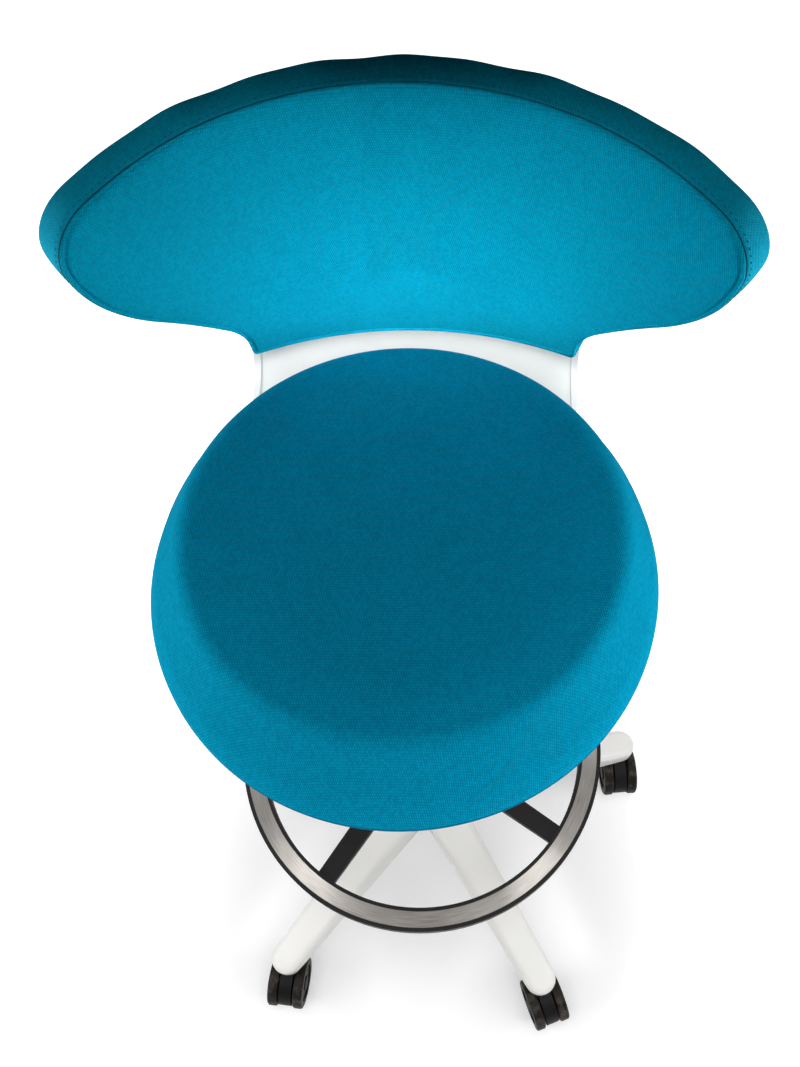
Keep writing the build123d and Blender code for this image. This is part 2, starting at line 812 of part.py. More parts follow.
lever_drop = math.atan2(lever_pivot_z - lever_end_z, lever_end_x - lever_bend_x)
paddle_plane = Plane(
    origin=(lever_end_x, 0, lever_end_z),
    x_dir=(math.cos(lever_drop), 0, -math.sin(lever_drop)),
    z_dir=(math.sin(lever_drop), 0, math.cos(lever_drop)),
)
with BuildPart() as lever_paddle:
    with BuildSketch(paddle_plane.offset(-paddle_thickness / 2)):
        with Locations((paddle_length / 2 - paddle_cover, 0)):
            RectangleRounded(paddle_length, paddle_width, paddle_width / 2 - paddle_round)
    extrude(amount=paddle_thickness)
    broad_faces = lever_paddle.faces().sort_by(Axis.Z)
    fillet(broad_faces[0].edges() + broad_faces[-1].edges(), paddle_round)
    add(height_lever.part, mode=Mode.SUBTRACT)
save(lever_paddle, "lever_paddle")

# Seat

with BuildPart() as seat_pan:
    with BuildSketch(Plane.XY.offset(pan_low)):
        with Locations((0, seat_rim_y)):
            Circle(pan_radius)
    extrude(amount=pan_thickness)
    fillet(seat_pan.edges().filter_by(GeomType.CIRCLE).sort_by(Axis.Z)[0], pan_edge_round)
    with BuildSketch(Plane.XY.offset(pan_low)):
        with Locations(*seat_screw_places):
            Circle(seat_screw_diameter / 2 + seated_fit)
    extrude(amount=seat_screw_bite + surface_gap, mode=Mode.SUBTRACT)
save(seat_pan, "seat_pan")

with BuildPart() as seat_screws:
    with BuildSketch(Plane.XY.offset(housing_floor)):
        with Locations(*seat_screw_places):
            Circle(seat_screw_diameter / 2)
    extrude(amount=pan_low + seat_screw_bite - housing_floor)
    with BuildSketch(Plane.XY.offset(housing_floor)):
        with Locations(*seat_screw_places):
            Circle(seat_screw_head_radius)
    extrude(amount=-seat_screw_head_height)
save(seat_screws, "seat_screws")

crown_block_height = seat_side_height + 2 * seat_crown
crown_sphere_radius = (seat_top_radius**2 + seat_crown**2) / (2 * seat_crown)
with BuildPart() as seat_cushion:
    with BuildSketch(Plane.XY.offset(seat_rim_height)):
        with Locations((0, seat_rim_y)):
            Circle(seat_rim_radius)
    with BuildSketch(Plane.XY.offset(seat_rim_height + crown_block_height)):
        with Locations((0, seat_rim_y + seat_slope * crown_block_height)):
            Circle(seat_rim_radius - seat_slope * crown_block_height)
    loft(ruled=True)
    with Locations((0, seat_top_y, seat_top_height + seat_crown - crown_sphere_radius)):
        Sphere(crown_sphere_radius, mode=Mode.INTERSECT)
    fillet(seat_cushion.faces().sort_by(Axis.Z)[-1].edges(), seat_edge_round)
    fillet(seat_cushion.faces().sort_by(Axis.Z)[0].edges(), seat_rim_round)
save(seat_cushion, "seat_cushion")

piping_ring_radius = pan_radius + surface_gap + piping_radius
with BuildPart() as seat_piping:
    with Locations((0, seat_rim_y, seat_rim_height - surface_gap / 2 - piping_radius)):
        Torus(piping_ring_radius, piping_radius)
save(seat_piping, "seat_piping")

# Backrest

start_turn = math.radians(90 - back_sweep / 2)
back_section = Plane(
    origin=(0, back_axis_y, 0),
    x_dir=(math.cos(start_turn), math.sin(start_turn), 0),
    z_dir=(math.sin(start_turn), -math.cos(start_turn), 0),
)
back_axis = Axis((0, back_axis_y, 0), (0, 0, 1))
back_depth = back_axis_y + 2 * pad_rear_radius
pad_screw_places = []
for screw_turn in (pad_screw_turn, -pad_screw_turn):
    for screw_height in (pad_screw_low, pad_screw_high):
        screw_angle = math.radians(screw_turn)
        screw_plane = Plane(
            origin=(0, back_axis_y, screw_height),
            x_dir=(math.cos(screw_angle), -math.sin(screw_angle), 0),
            z_dir=(math.sin(screw_angle), math.cos(screw_angle), 0),
        )
        shell_rear = shell_front_radius + shell_thickness + (screw_height - pad_low) * back_rise
        pad_screw_places.append((screw_plane, shell_rear - pad_screw_head_height - pad_screw_sink))


def leaning(radius, height):
    """A point of a back surface, from its radius at the foot of the pad."""
    return (radius + (height - pad_low) * back_rise, height)


def wing_face(inset):
    """The backrest's outline seen from the front, drawn in by the inset."""
    neck_curl_turn = wing_top_turn + wing_tip_turn + wing_under_turn - 90
    with BuildSketch(Plane.XZ) as face:
        with BuildLine():
            for side in (1, -1):
                top = JernArc((0, pad_top), (side, 0), wing_top_radius, -side * wing_top_turn)
                tip = JernArc(top @ 1, top % 1, wing_tip_radius, -side * wing_tip_turn)
                under = JernArc(tip @ 1, tip % 1, wing_under_radius, -side * wing_under_turn)
                run = Line(under @ 1, under @ 1 + wing_under_run * (under % 1))
                curl = JernArc(run @ 1, run % 1, neck_curl_radius, side * neck_curl_turn)
                drop = Line(curl @ 1, ((curl @ 1).X, pad_low))
                Line(drop @ 1, (0, pad_low))
        make_face()
        neck_corners = face.vertices().group_by(Axis.Y)[0].sort_by(Axis.X)
        fillet((neck_corners[0], neck_corners[-1]), neck_corner_radius)
        if inset > 0:
            offset(amount=-inset)
    return face


def back_band(front_radius, rear_radius, crown):
    """A band of the backrest between two leaning surfaces, taller than the outline that trims it."""
    low = pad_low - trim_margin
    high = pad_top + trim_margin
    middle = (low + high) / 2
    with BuildPart() as band:
        with BuildSketch(back_section):
            with BuildLine():
                if crown > 0:
                    ThreePointArc(
                        leaning(front_radius, low),
                        leaning(front_radius - crown, middle),
                        leaning(front_radius, high),
                    )
                else:
                    Line(leaning(front_radius, low), leaning(front_radius, high))
                Polyline(
                    leaning(front_radius, high),
                    leaning(rear_radius, high),
                    leaning(rear_radius, low),
                    leaning(front_radius, low),
                )
            make_face()
        revolve(axis=back_axis, revolution_arc=back_sweep)
    return band


board_band = back_band(pad_rear_radius - board_thickness, pad_rear_radius, 0)
board_outline = wing_face(board_inset)
pad_band = back_band(back_face_radius, pad_rear_radius, pad_crown)
pad_outline = wing_face(0)
shell_outline = wing_face(shell_inset)

with BuildPart() as board_blank:
    add(board_band.part)
    extrude(board_outline.sketch, amount=back_depth, dir=(0, 1, 0), mode=Mode.INTERSECT)

with BuildPart() as back_pad:
    add(pad_band.part)
    extrude(pad_outline.sketch, amount=back_depth, dir=(0, 1, 0), mode=Mode.INTERSECT)
    fillet(back_pad.faces().filter_by(GeomType.TORUS)[0].edges(), pad_front_round)
    fillet(back_pad.faces().filter_by(GeomType.CONE)[0].edges(), pad_rear_round)
    add(board_blank.part, mode=Mode.SUBTRACT)
save(back_pad, "back_pad")


def shell_path_band(inset, width):
    """The swept section of the shell: arm plate, bend and leaning back, shifted inward by the inset."""
    plate = hinge_z + inset
    foot = leaning(shell_middle_radius - inset, plate)
    head = leaning(shell_middle_radius - inset, pad_top)
    with BuildPart() as band:
        with BuildSketch(back_section):
            with BuildLine():
                FilletPolyline((hinge_y - back_axis_y, plate), foot, head, radius=shell_bend_radius - inset)
            trace(line_width=width)
        revolve(axis=back_axis, revolution_arc=back_sweep)
    return band


shell_band = shell_path_band(0, shell_thickness)
lip_band = shell_path_band((shell_thickness + shell_lip_depth) / 2, shell_lip_depth)
lip_centre_x = shell_neck_half_width - shell_lip_thickness / 2

with BuildPart() as shell_lips:
    add(lip_band.part)
    with BuildSketch(Plane.XZ):
        with Locations((lip_centre_x, shell_lip_top / 2), (-lip_centre_x, shell_lip_top / 2)):
            Rectangle(shell_lip_thickness, shell_lip_top)
    extrude(amount=-back_depth, mode=Mode.INTERSECT)

with BuildPart() as back_shell:
    add(shell_band.part)
    with BuildSketch(Plane.XZ):
        add(shell_outline.sketch)
        with BuildLine():
            Polyline(
                (shell_neck_half_width, 0),
                (shell_neck_half_width, shell_lip_top),
                (shell_neck_half_width - shell_neck_taper, shell_lip_top + 2 * shell_neck_taper),
                (shell_neck_taper - shell_neck_half_width, shell_lip_top + 2 * shell_neck_taper),
                (-shell_neck_half_width, shell_lip_top),
                (-shell_neck_half_width, 0),
                close=True,
            )
        make_face()
    extrude(amount=-back_depth, mode=Mode.INTERSECT)
    add(shell_lips.part)
    with BuildSketch(Plane.XY.offset(hinge_z - 2 * shell_bend_radius)):
        with Locations((0, hinge_y)):
            Rectangle(2 * back_depth, 2 * (shell_plate_corner_y - hinge_y))
        with BuildLine():
            Line((-shell_arm_half_width, hinge_y), (shell_arm_half_width, hinge_y))
            Line((shell_arm_half_width, hinge_y), (shell_arm_half_width, shell_arm_start_y))
            Spline(
                (shell_arm_half_width, shell_arm_start_y),
                (shell_neck_half_width, shell_plate_corner_y),
                tangents=((0, 1), (0, 1)),
            )
            Line((shell_neck_half_width, shell_plate_corner_y), (-shell_neck_half_width, shell_plate_corner_y))
            Spline(
                (-shell_neck_half_width, shell_plate_corner_y),
                (-shell_arm_half_width, shell_arm_start_y),
                tangents=((0, -1), (0, -1)),
            )
            Line((-shell_arm_half_width, shell_arm_start_y), (-shell_arm_half_width, hinge_y))
        make_face(mode=Mode.SUBTRACT)
    extrude(amount=3 * shell_bend_radius, mode=Mode.SUBTRACT)
    with BuildSketch(Plane.YZ):
        with Locations((hinge_y, hinge_z)):
            Circle(hinge_eye_radius)
    extrude(amount=shell_arm_half_width, both=True)
    with BuildSketch(Plane.YZ):
        with Locations((hinge_y, hinge_z)):
            Circle(hinge_bush_radius + seated_fit)
    extrude(amount=shell_arm_half_width, both=True, mode=Mode.SUBTRACT)
    for screw_plane, seat in pad_screw_places:
        with BuildSketch(screw_plane.offset(seat)):
            Circle(pad_screw_head_radius + seated_fit)
        extrude(amount=shell_thickness, mode=Mode.SUBTRACT)
        with BuildSketch(screw_plane.offset(seat)):
            Circle(pad_screw_diameter / 2 + seated_fit)
        extrude(amount=-shell_thickness, mode=Mode.SUBTRACT)
save(back_shell, "back_shell")

with BuildPart() as back_board:
    add(board_blank.part)
    for screw_plane, seat in pad_screw_places:
        with BuildSketch(screw_plane.offset(seat)):
            Circle(pad_screw_diameter / 2 + seated_fit)
        extrude(amount=-2 * shell_thickness, mode=Mode.SUBTRACT)
save(back_board, "back_board")

with BuildPart() as pad_screws:
    for screw_plane, seat in pad_screw_places:
        with BuildSketch(screw_plane.offset(seat)):
            Circle(pad_screw_head_radius)
        extrude(amount=pad_screw_head_height)
        with BuildSketch(screw_plane.offset(seat)):
            Circle(pad_screw_diameter / 2)
        extrude(amount=-pad_screw_length)
save(pad_screws, "pad_screws")

with BuildPart() as hinge_pin:
    with BuildSketch(Plane.YZ):
        with Locations((hinge_y, hinge_z)):
            Circle(hinge_pin_radius)
    extrude(amount=cheek_outer_x, both=True)
save(hinge_pin, "hinge_pin")

with BuildPart() as hinge_bushes:
    for side in (1, -1):
        with BuildSketch(Plane.YZ.offset(side * shell_arm_half_width)):
            with Locations((hinge_y, hinge_z)):
                Circle(hinge_bush_radius)
                Circle(hinge_pin_radius + running_fit, mode=Mode.SUBTRACT)
        extrude(amount=-side * hinge_bush_length)
save(hinge_bushes, "hinge_bushes")

with BuildPart() as tilt_buffer:
    with BuildSketch(Plane.XY.offset(housing_floor + housing_wall)):
        with Locations((0, buffer_y)):
            Circle(buffer_radius)
    extrude(amount=buffer_top - housing_floor - housing_wall)
save(tilt_buffer, "tilt_buffer")
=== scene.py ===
import json
import math

import bmesh
import bpy
import numpy as np
from mathutils import Matrix, Vector, kdtree


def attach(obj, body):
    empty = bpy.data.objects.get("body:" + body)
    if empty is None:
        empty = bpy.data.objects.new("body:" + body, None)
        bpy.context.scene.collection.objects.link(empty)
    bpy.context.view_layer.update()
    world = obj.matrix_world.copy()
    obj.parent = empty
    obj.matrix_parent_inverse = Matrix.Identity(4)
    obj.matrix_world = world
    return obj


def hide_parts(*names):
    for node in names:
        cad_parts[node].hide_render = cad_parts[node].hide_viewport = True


# The looks of a high desk chair: woven cushions, satin mouldings, brushed tread, and the photograph's view.
# Metres, in the part's own frame: the sitter faces -Y, the floor is at zero.

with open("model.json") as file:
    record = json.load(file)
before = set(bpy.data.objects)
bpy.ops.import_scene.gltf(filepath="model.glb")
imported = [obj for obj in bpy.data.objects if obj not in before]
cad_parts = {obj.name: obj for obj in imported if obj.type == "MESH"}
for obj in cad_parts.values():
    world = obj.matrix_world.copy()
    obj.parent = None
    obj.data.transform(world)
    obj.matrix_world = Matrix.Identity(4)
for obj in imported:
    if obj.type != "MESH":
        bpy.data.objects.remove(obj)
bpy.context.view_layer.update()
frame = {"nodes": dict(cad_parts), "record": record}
scene = bpy.context.scene

# Camera, as fitted to the photograph
photo_width = 800
photo_height = 1067
focal_pixels = 1020.0
principal_x = 455.25
camera_place = Vector((0.048, -0.321, 1.5315))
camera_pitch = math.radians(63.19)
camera_yaw = math.radians(-1.31)
camera_roll = math.radians(0.42)
sensor_size = 36.0

# Seat cushion: a leaning cone from a rim circle up to a smaller top circle, with a soft edge and a low crown
seat_rim_radius = 0.2016
seat_rim_y = 0.0185
seat_low = 0.7882
seat_side_height = 0.0435
seat_top_radius = 0.1764
seat_top_y = 0.0435
seat_crown = 0.0035
seat_edge_inset = 0.008
seat_edge_share = 0.2
seat_rear_inset = 0.032
seat_rear_share = 0.5
seat_side_bulge = 0.001
seat_bulge_rise = 0.5
seat_rim_round = 0.003
seat_held_part = 3
underside_shares = (0.95, 0.85, 0.7, 0.5, 0.25)
seat_around = 288
top_steps = 26
edge_steps = 12
slope_steps = 12
round_steps = 5

# Piping under the seat's rim
piping_ring_radius = 0.2003
piping_radius = 0.0017
piping_z = 0.7866
piping_around = 288
piping_cross = 12

# Backrest pad: its outline is a chain of tangent arcs on the rear face, wrapped on a leaning round wall.
# A sewn tuck line runs inside the seam. A wave is a height, a rate per metre and a start.
back_axis_y = -0.101
back_rear_radius = 0.3898
back_low = 0.791
pad_low = 0.7945
back_lean = math.tan(math.radians(4.0))
wing_top = 1.041
wing_top_radius = 0.878
wing_top_turn = 8.69
wing_shoulder_radius = 0.4292
wing_shoulder_turn = 14.84
wing_tip_radius = 0.046
wing_tip_turn = 74.4
wing_under_radius = 0.1279
wing_under_turn = 43.29
wing_under_run = 0.062
neck_curl_radius = 0.0432
neck_corner_radius = 0.004
outline_step = 0.001
least_arc_steps = 8
least_line_steps = 2
pad_centre_z = 0.905
pad_rear_round = 0.0022
pad_band = 0.0312
pad_band_bulge = 0.0008
pad_seam_depth = 0.0018
pad_seam_width = 0.0009
pad_roll = 0.0018
pad_crown = 0.0055
pad_crown_reach = 0.02
pad_tuck_setback = 0.0032
pad_tuck_depth = 0.0016
pad_tuck_width = 0.0008
pad_waviness = 0.0007
slow_wave = (1.0, 67, 0.6)
quick_wave = (0.7, 118, 2.1)
rear_shares = (0.97, 0.9, 0.75, 0.55, 0.35, 0.15)
pad_around = 480
front_steps = 56
roll_steps = 8
band_steps = 10

# Seam cord between the band and the front, its dark colour painted shade of the seam's groove, and stitches
# along the band behind it
seam_radius = 0.0005
seam_cross = 8
stitch_setback = 0.0048
stitch_spacing = 0.0052
stitch_length = 0.0022
stitch_width = 0.0007
stitch_height = 0.0004
stitch_cross = 6
stitch_profile = ((-1.0, 0.0), (-0.85, 0.7), (-0.4, 1.0), (0.4, 1.0), (0.85, 0.7), (1.0, 0.0))

# Cloth: the size of a stitch of the weave, and how far the cushions are blown up
weave_width = 0.0019
weave_length = 0.0021
weave_shift = 0.36
weave_wander = 0.0008
# The weave's floor, arch and sharpness shape its bump and also its painted shade.
weave_floor = 0.35
weave_arch = 0.65
weave_sharpness = 0.8
swell_cap = 0.0015
swell_voxel = 0.005
swell_frames = 20
swell_pressure = 4.0
swell_neighbours = 60

# Gloss levels, the cloth's sheen, and the middle range of a noise value
cloth_gloss = 0.04
wheel_gloss = 0.08
metal_gloss = 0.015
dull_gloss = 0.1
rubber_gloss = 0.2
satin_gloss = 0.5
sheen_tint = (0.0, 0.6, 0.8, 1.0)
noise_low = 0.3
noise_high = 0.7

# Brushing of the tread: lines per metre of radius and breaks per radian. Plywood: grain and layers per metre
brush_lines = 2600.0
brush_breaks = 7.0
plywood_squeeze = (3.0, 60.0, 60.0)
plywood_layers = 700.0

# Floor and world: the floor is white away from the chair, and the world is white where it is seen. Near the
# chair the floor glows less, over a disc set in front of it: painted shade where the chair's shadow falls.
floor_size = 6.0
floor_colour = (0.86, 0.86, 0.87, 1.0)
painted_shade_glow = 0.24
painted_shade_centre = (0, -0.15, 0)
painted_shade_inner_radius = 0.2
painted_shade_outer_radius = 0.6
horizon_light = 0.02
zenith_light = 0.004
white = (1, 1, 1, 1)

# Lamps: places, targets and sizes that more than one lamp has
side_target = (0, 0.1, 0.9)
side_size = (1.2, 0.24)
seat_target = (0, 0.02, 0.82)
seat_lamp_size = (1.2, 0.4)
seat_tint = (0.9, 0.98, 1.13)
tip_size = (0.3, 0.3)
ring_target = (0, 0, 0.35)
glint_size = (0.5, 0.3)
glint_power = 80


# Building meshes


def mesh_piece(name, points, faces, chart=None):
    """A smooth-shaded piece, with a cloth chart in metres where one is given."""
    mesh = bpy.data.meshes.new(name)
    mesh.from_pydata([tuple(point) for point in points], [], faces)
    mesh.update()
    for polygon in mesh.polygons:
        polygon.use_smooth = True
    if chart is not None:
        layer = mesh.uv_layers.new(name="weave")
        for loop in mesh.loops:
            layer.data[loop.index].uv = chart[loop.vertex_index]
    piece = bpy.data.objects.new(name, mesh)
    scene.collection.objects.link(piece)
    return piece


def skin_faces(ring_count, around):
    """Faces of a closed skin over rings of points, with one pole point before and one after them."""
    faces = []
    last = ring_count * around + 1
    for place in range(around):
        after = (place + 1) % around
        faces.append((0, 1 + after, 1 + place))
        for ring in range(ring_count - 1):
            low = 1 + ring * around
            high = low + around
            faces.append((low + place, low + after, high + after, high + place))
        top = 1 + (ring_count - 1) * around
        faces.append((last, top + place, top + after))
    return faces


def tube_faces(around, cross):
    """Faces of a closed tube of points, ring after ring."""
    faces = []
    for place in range(around):
        after = (place + 1) % around
        for spot in range(cross):
            beside = (spot + 1) % cross
            low = place * cross
            high = after * cross
            faces.append((low + spot, high + spot, high + beside, low + beside))
    return faces


def face_out(piece):
    """Turns every face of a closed piece outward."""
    work = bmesh.new()
    work.from_mesh(piece.data)
    bmesh.ops.recalc_face_normals(work, faces=work.faces)
    work.to_mesh(piece.data)
    work.free()


def cloth_chart(rings, flat_charts, ways):
    """Places on the cloth: flat over the first rings, then outward by each step's true length."""
    charts = list(flat_charts)
    start = len(charts)
    for before, after in zip(rings[start - 1:], rings[start:]):
        lengths = np.linalg.norm(after - before, axis=1)
        charts.append(charts[-1] + ways * lengths[:, None])
    return charts


def skinned(name, first_pole, rings, last_pole, charts):
    """A closed piece over rings that run outward from its front or top pole to its hidden pole."""
    points = np.vstack((first_pole, *rings, last_pole))
    chart = np.vstack((charts[0].mean(axis=0), *charts, charts[-1].mean(axis=0)))
    piece = mesh_piece(name, points, skin_faces(len(rings), len(rings[0])), chart)
    face_out(piece)
    return piece


# Seat cushion


def seat_piece():
    """The seat cushion, from its crown over the soft edge and the slope to its underside."""
    turns = np.linspace(0, 2 * math.pi, seat_around, endpoint=False)
    ways = np.column_stack((np.sin(turns), -np.cos(turns)))

    def circle(radius, middle_y, height):
        heights = height * np.ones(seat_around)
        return np.column_stack((radius * ways[:, 0], middle_y + radius * ways[:, 1], heights))

    top_height = seat_low + seat_side_height
    foot = circle(seat_rim_radius, seat_rim_y, seat_low + seat_rim_round)
    corner = circle(seat_top_radius, seat_top_y, top_height)
    rear_share = ((1 + ways[:, 1:]) / 2) ** 2
    edge_share = seat_edge_share + (seat_rear_share - seat_edge_share) * rear_share
    slope_start = corner + (foot - corner) * edge_share
    top_reach = seat_top_radius - seat_edge_inset - (seat_rear_inset - seat_edge_inset) * rear_share[:, 0]
    rings = []
    flat_charts = []
    for step in range(1, top_steps + 1):
        radius = top_reach * step / top_steps
        rise = seat_crown * (1 - (radius / seat_top_radius) ** 2)
        rings.append(circle(radius, seat_top_y, top_height + rise))
        flat_charts.append(ways * radius[:, None])
    edge_start = rings[-1]
    for step in range(1, edge_steps + 1):
        share = step / edge_steps
        above = edge_start + (corner - edge_start) * share
        below = corner + (slope_start - corner) * share
        rings.append(above + (below - above) * share)
    bulge_ways = np.column_stack((ways, np.full(seat_around, seat_bulge_rise)))
    for step in range(1, slope_steps + 1):
        share = step / slope_steps
        bulge = seat_side_bulge * math.sin(math.pi * share)
        rings.append(slope_start + (foot - slope_start) * share + bulge_ways * bulge)
    for step in range(1, round_steps + 1):
        angle = math.pi / 2 * step / round_steps
        radius = seat_rim_radius - seat_rim_round * (1 - math.cos(angle))
        rings.append(circle(radius, seat_rim_y, seat_low + seat_rim_round * (1 - math.sin(angle))))
    for share in underside_shares:
        rings.append(circle((seat_rim_radius - seat_rim_round) * share, seat_rim_y, seat_low))
    charts = cloth_chart(rings, flat_charts, ways)
    crown = (0, seat_top_y, top_height + seat_crown)
    underside = (0, seat_rim_y, seat_low)
    return skinned("seat_upholstery", crown, rings, underside, charts)


def piping_piece():
    """The covered cord under the seat's rim."""
    points = []
    chart = []
    for place in range(piping_around):
        turn = 2 * math.pi * place / piping_around
        for spot in range(piping_cross):
            angle = 2 * math.pi * spot / piping_cross
            reach = piping_ring_radius + piping_radius * math.cos(angle)
            height = piping_z + piping_radius * math.sin(angle)
            points.append((reach * math.sin(turn), seat_rim_y - reach * math.cos(turn), height))
            chart.append((piping_ring_radius * turn, piping_radius * angle))
    piece = mesh_piece("seat_edge_piping", points, tube_faces(piping_around, piping_cross), chart)
    face_out(piece)
    return piece


# Backrest pad


def walk_outline():
    """Half of the pad's outline, from the top centre round the wing to the middle of its lower edge."""
    points = [np.array((0.0, wing_top))]
    heading = 0.0

    def arc(radius, turn, side):
        nonlocal heading
        start = math.radians(heading)
        centre = points[-1] + radius * side * np.array((math.sin(start), -math.cos(start)))
        steps = max(least_arc_steps, int(radius * math.radians(turn) / outline_step))
        for step in range(1, steps + 1):
            now = start - side * math.radians(turn) * step / steps
            points.append(centre - radius * side * np.array((math.sin(now), -math.cos(now))))
        heading -= side * turn

    def line(length):
        start = points[-1]
        way = np.array((math.cos(math.radians(heading)), math.sin(math.radians(heading))))
        steps = max(least_line_steps, int(length / outline_step))
        for step in range(1, steps + 1):
            points.append(start + way * length * step / steps)

    arc(wing_top_radius, wing_top_turn, 1)
    arc(wing_shoulder_radius, wing_shoulder_turn, 1)
    arc(wing_tip_radius, wing_tip_turn, 1)
    arc(wing_under_radius, wing_under_turn, 1)
    line(wing_under_run)
    turned = wing_top_turn + wing_shoulder_turn + wing_tip_turn + wing_under_turn
    arc(neck_curl_radius, turned - 90, -1)
    line(max(outline_step, points[-1][1] - pad_low - neck_corner_radius))
    arc(neck_corner_radius, 90, 1)
    line(points[-1][0])
    return np.array(points)


def pad_outline():
    """The whole outline at even steps, clockwise from the top centre, with its outward directions."""
    half = walk_outline()
    whole = np.vstack((half, (half * (-1, 1))[::-1][1:-1]))
    closed = np.vstack((whole, whole[:1]))
    lengths = np.concatenate(([0], np.cumsum(np.linalg.norm(np.diff(closed, axis=0), axis=1))))
    even = np.linspace(0, lengths[-1], pad_around, endpoint=False)
    places = np.column_stack([np.interp(even, lengths, closed[:, axis]) for axis in (0, 1)])
    ways = np.roll(places, -1, axis=0) - np.roll(places, 1, axis=0)
    outward = np.column_stack((-ways[:, 1], ways[:, 0]))
    outward /= np.linalg.norm(outward, axis=1)[:, None]
    return places, outward, lengths[-1]


def on_back(places, depths):
    """Points of the back, from their places on the rear face and their depths in front of it."""
    x, z = places[:, 0], places[:, 1]
    rear = back_rear_radius + (z - back_low) * back_lean
    turns = np.arcsin(x / rear)
    radii = rear - depths
    heights = z + depths * back_lean
    return np.column_stack((radii * np.sin(turns), back_axis_y + radii * np.cos(turns), heights))


outline, outward, outline_length = pad_outline()
waves = sum(size * np.sin(outline[:, 0] * rate + start) for size, rate, start in (slow_wave, quick_wave))
edge_waves = outward * (pad_waviness * waves * outward[:, 1].clip(0))[:, None]


def pad_piece():
    """The backrest pad, from the middle of its front over the roll, the seam and the band to its rear."""

    def front_depth(places):
        gaps = np.linalg.norm(places[:, None, :] - outline[None, :, :], axis=2).min(axis=1)
        tuck = pad_tuck_depth * np.exp(-((gaps - pad_tuck_setback) / pad_tuck_width) ** 2)
        return pad_band + pad_roll + pad_crown * (1 - np.exp(-gaps / pad_crown_reach)) - tuck

    centre = np.array(((0.0, pad_centre_z),))
    front_edge = outline - outward * pad_roll
    rings = []
    flat_charts = []
    for step in range(1, front_steps + 1):
        places = centre + (front_edge - centre) * (1 - (1 - step / front_steps) ** 2)
        rings.append(on_back(places, front_depth(places)))
        flat_charts.append(np.column_stack((
            back_rear_radius * np.arcsin(places[:, 0] / back_rear_radius),
            places[:, 1],
        )))
    edge_depth = front_depth(front_edge)
    for step in range(1, roll_steps + 1):
        angle = math.pi / 2 * step / roll_steps
        places = outline - outward * pad_roll * (1 - math.sin(angle))
        rings.append(on_back(places, pad_band + pad_seam_width + (edge_depth - pad_band) * math.cos(angle)))
    half_seam = pad_seam_width / 2
    groove = ((pad_seam_depth, half_seam), (pad_seam_depth, -half_seam), (0, -pad_seam_width))
    for inset, beyond in groove:
        rings.append(on_back(outline - outward * inset, np.full(pad_around, pad_band + beyond)))
    for step in range(1, band_steps + 1):
        share = step / band_steps
        depth = pad_band - pad_seam_width + (pad_rear_round - pad_band + pad_seam_width) * share
        bulge = pad_band_bulge * math.sin(math.pi * share)
        places = outline + outward * bulge + edge_waves * share ** 2
        rings.append(on_back(places, np.full(pad_around, depth)))
    for step in range(1, round_steps + 1):
        angle = math.pi / 2 * step / round_steps
        places = outline + edge_waves - outward * pad_rear_round * (1 - math.cos(angle))
        rings.append(on_back(places, np.full(pad_around, pad_rear_round * (1 - math.sin(angle)))))
    rear_edge = outline + edge_waves - outward * pad_rear_round
    for share in rear_shares:
        rings.append(on_back(centre + (rear_edge - centre) * share, np.zeros(pad_around)))
    charts = cloth_chart(rings, flat_charts, outward)
    front_pole = on_back(centre, front_depth(centre))
    rear_pole = on_back(centre, np.zeros(1))
    return skinned("back_upholstery", front_pole, rings, rear_pole, charts)


def seam_piece():
    """The seam cord that lies in the groove between the band and the front, dark as painted shade of the
    groove.
    """
    points = []
    for place in range(pad_around):
        for spot in range(seam_cross):
            angle = 2 * math.pi * spot / seam_cross
            spine = outline[place] + outward[place] * seam_radius * math.cos(angle)
            depth = pad_band + seam_radius * math.sin(angle)
            points.append(on_back(spine[None, :], np.array((depth,)))[0])
    piece = mesh_piece("back_seam", points, tube_faces(pad_around, seam_cross))
    face_out(piece)
    return piece


def stitch_piece():
    """A row of short stitches on the band, a little behind the seam, all round but for the lower edge."""
    count = int(outline_length / stitch_spacing)
    points = []
    faces = []
    single = skin_faces(len(stitch_profile) - 2, stitch_cross)
    for number in range(count):
        spot = number / count * pad_around
        index = int(spot)
        after = (index + 1) % pad_around
        share = spot - index
        place = outline[index] * (1 - share) + outline[after] * share
        if place[1] < pad_low + stitch_length:
            continue
        out = outward[index]
        along = np.array((out[1], -out[0]))
        base = len(points)
        middle_depth = pad_band - stitch_setback
        for reach, size in stitch_profile:
            spine = place + along * reach * stitch_length / 2
            for turn in range(stitch_cross if size else 1):
                angle = 2 * math.pi * turn / stitch_cross
                lift = pad_band_bulge / 2 + stitch_height * size * math.sin(angle)
                depth = middle_depth + stitch_width / 2 * size * math.cos(angle)
                points.append(on_back((spine + out * lift)[None, :], np.array((depth,)))[0])
        faces.extend(tuple(base + corner for corner in face) for face in single)
    piece = mesh_piece("back_stitching", points, faces)
    face_out(piece)
    return piece


# Cloth simulation: an even copy is blown up, and the fine skin follows it


